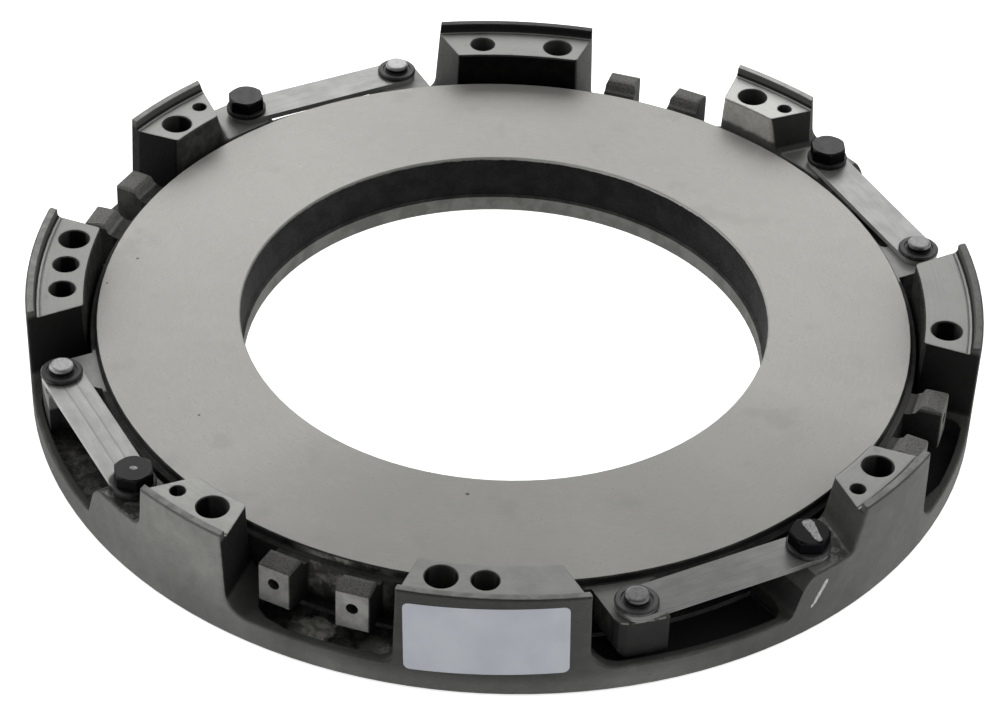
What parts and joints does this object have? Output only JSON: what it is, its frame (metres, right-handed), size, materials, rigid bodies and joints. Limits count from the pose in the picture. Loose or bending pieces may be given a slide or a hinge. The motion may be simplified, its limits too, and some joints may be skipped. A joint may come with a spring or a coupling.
{
  "type": "clutch intermediate pressure plate",
  "caption": "Cast clutch ring with bolting lugs and a flat annular pressure plate hung inside it on tangential leaf straps, free to slide a few millimetres along the axis.",
  "frame": {"origin": "on the ring's axis, in the plane of its bottom face, where it sits on the flywheel", "axes": "+Z along the clutch axis from the flywheel towards the cover; +X through the main bolt hole of the wide lug that has no dowel hole; +Y a quarter turn anticlockwise seen from the cover side"},
  "size_m": [0.4716, 0.4718, 0.0582],
  "materials": {
    "cast_ring": "rough as-cast grey iron, with ground bolting pads",
    "ground_plate": "fine ground faces, rough cast sides",
    "spring_steel": "rolled spring steel, brushed lengthwise",
    "black_steel": "black oxide",
    "dark_steel": "dark phosphated",
    "rivet_steel": "bright turned",
    "label_paper": "plain pale grey film, blank"
  },
  "bodies": {
    "ring": {"intermediate_ring": "cast_ring", "strap_1_top_leaf": "spring_steel", "strap_1_middle_leaf": "spring_steel", "strap_1_bottom_leaf": "spring_steel", "strap_2_top_leaf": "spring_steel", "strap_2_middle_leaf": "spring_steel", "strap_2_bottom_leaf": "spring_steel", "strap_3_top_leaf": "spring_steel", "strap_3_middle_leaf": "spring_steel", "strap_3_bottom_leaf": "spring_steel", "strap_4_top_leaf": "spring_steel", "strap_4_middle_leaf": "spring_steel", "strap_4_bottom_leaf": "spring_steel", "strap_bolt_1": "black_steel", "strap_bolt_2": "black_steel", "strap_bolt_3": "black_steel", "strap_bolt_4": "black_steel", "bolt_washer_1": "dark_steel", "bolt_washer_2": "dark_steel", "bolt_washer_3": "dark_steel", "bolt_washer_4": "dark_steel", "blank_label": "label_paper"},
    "plate": {"intermediate_plate": "ground_plate", "rivet_1": "rivet_steel", "rivet_2": "rivet_steel", "rivet_3": "rivet_steel", "rivet_4": "rivet_steel", "rivet_collar_1": "dark_steel", "rivet_collar_2": "dark_steel", "rivet_collar_3": "dark_steel", "rivet_collar_4": "dark_steel"}
  },
  "joints": [
    {"name": "plate_slide", "type": "slide", "parent": "ring", "child": "plate", "axis": [0, 0, 1], "range_m": [-0.004, 0.002], "stiffness_N_per_m": 140000, "springref_m": 0.00136, "deforming": ["strap_1_top_leaf", "strap_1_middle_leaf", "strap_1_bottom_leaf", "strap_2_top_leaf", "strap_2_middle_leaf", "strap_2_bottom_leaf", "strap_3_top_leaf", "strap_3_middle_leaf", "strap_3_bottom_leaf", "strap_4_top_leaf", "strap_4_middle_leaf", "strap_4_bottom_leaf"]}
  ]
}
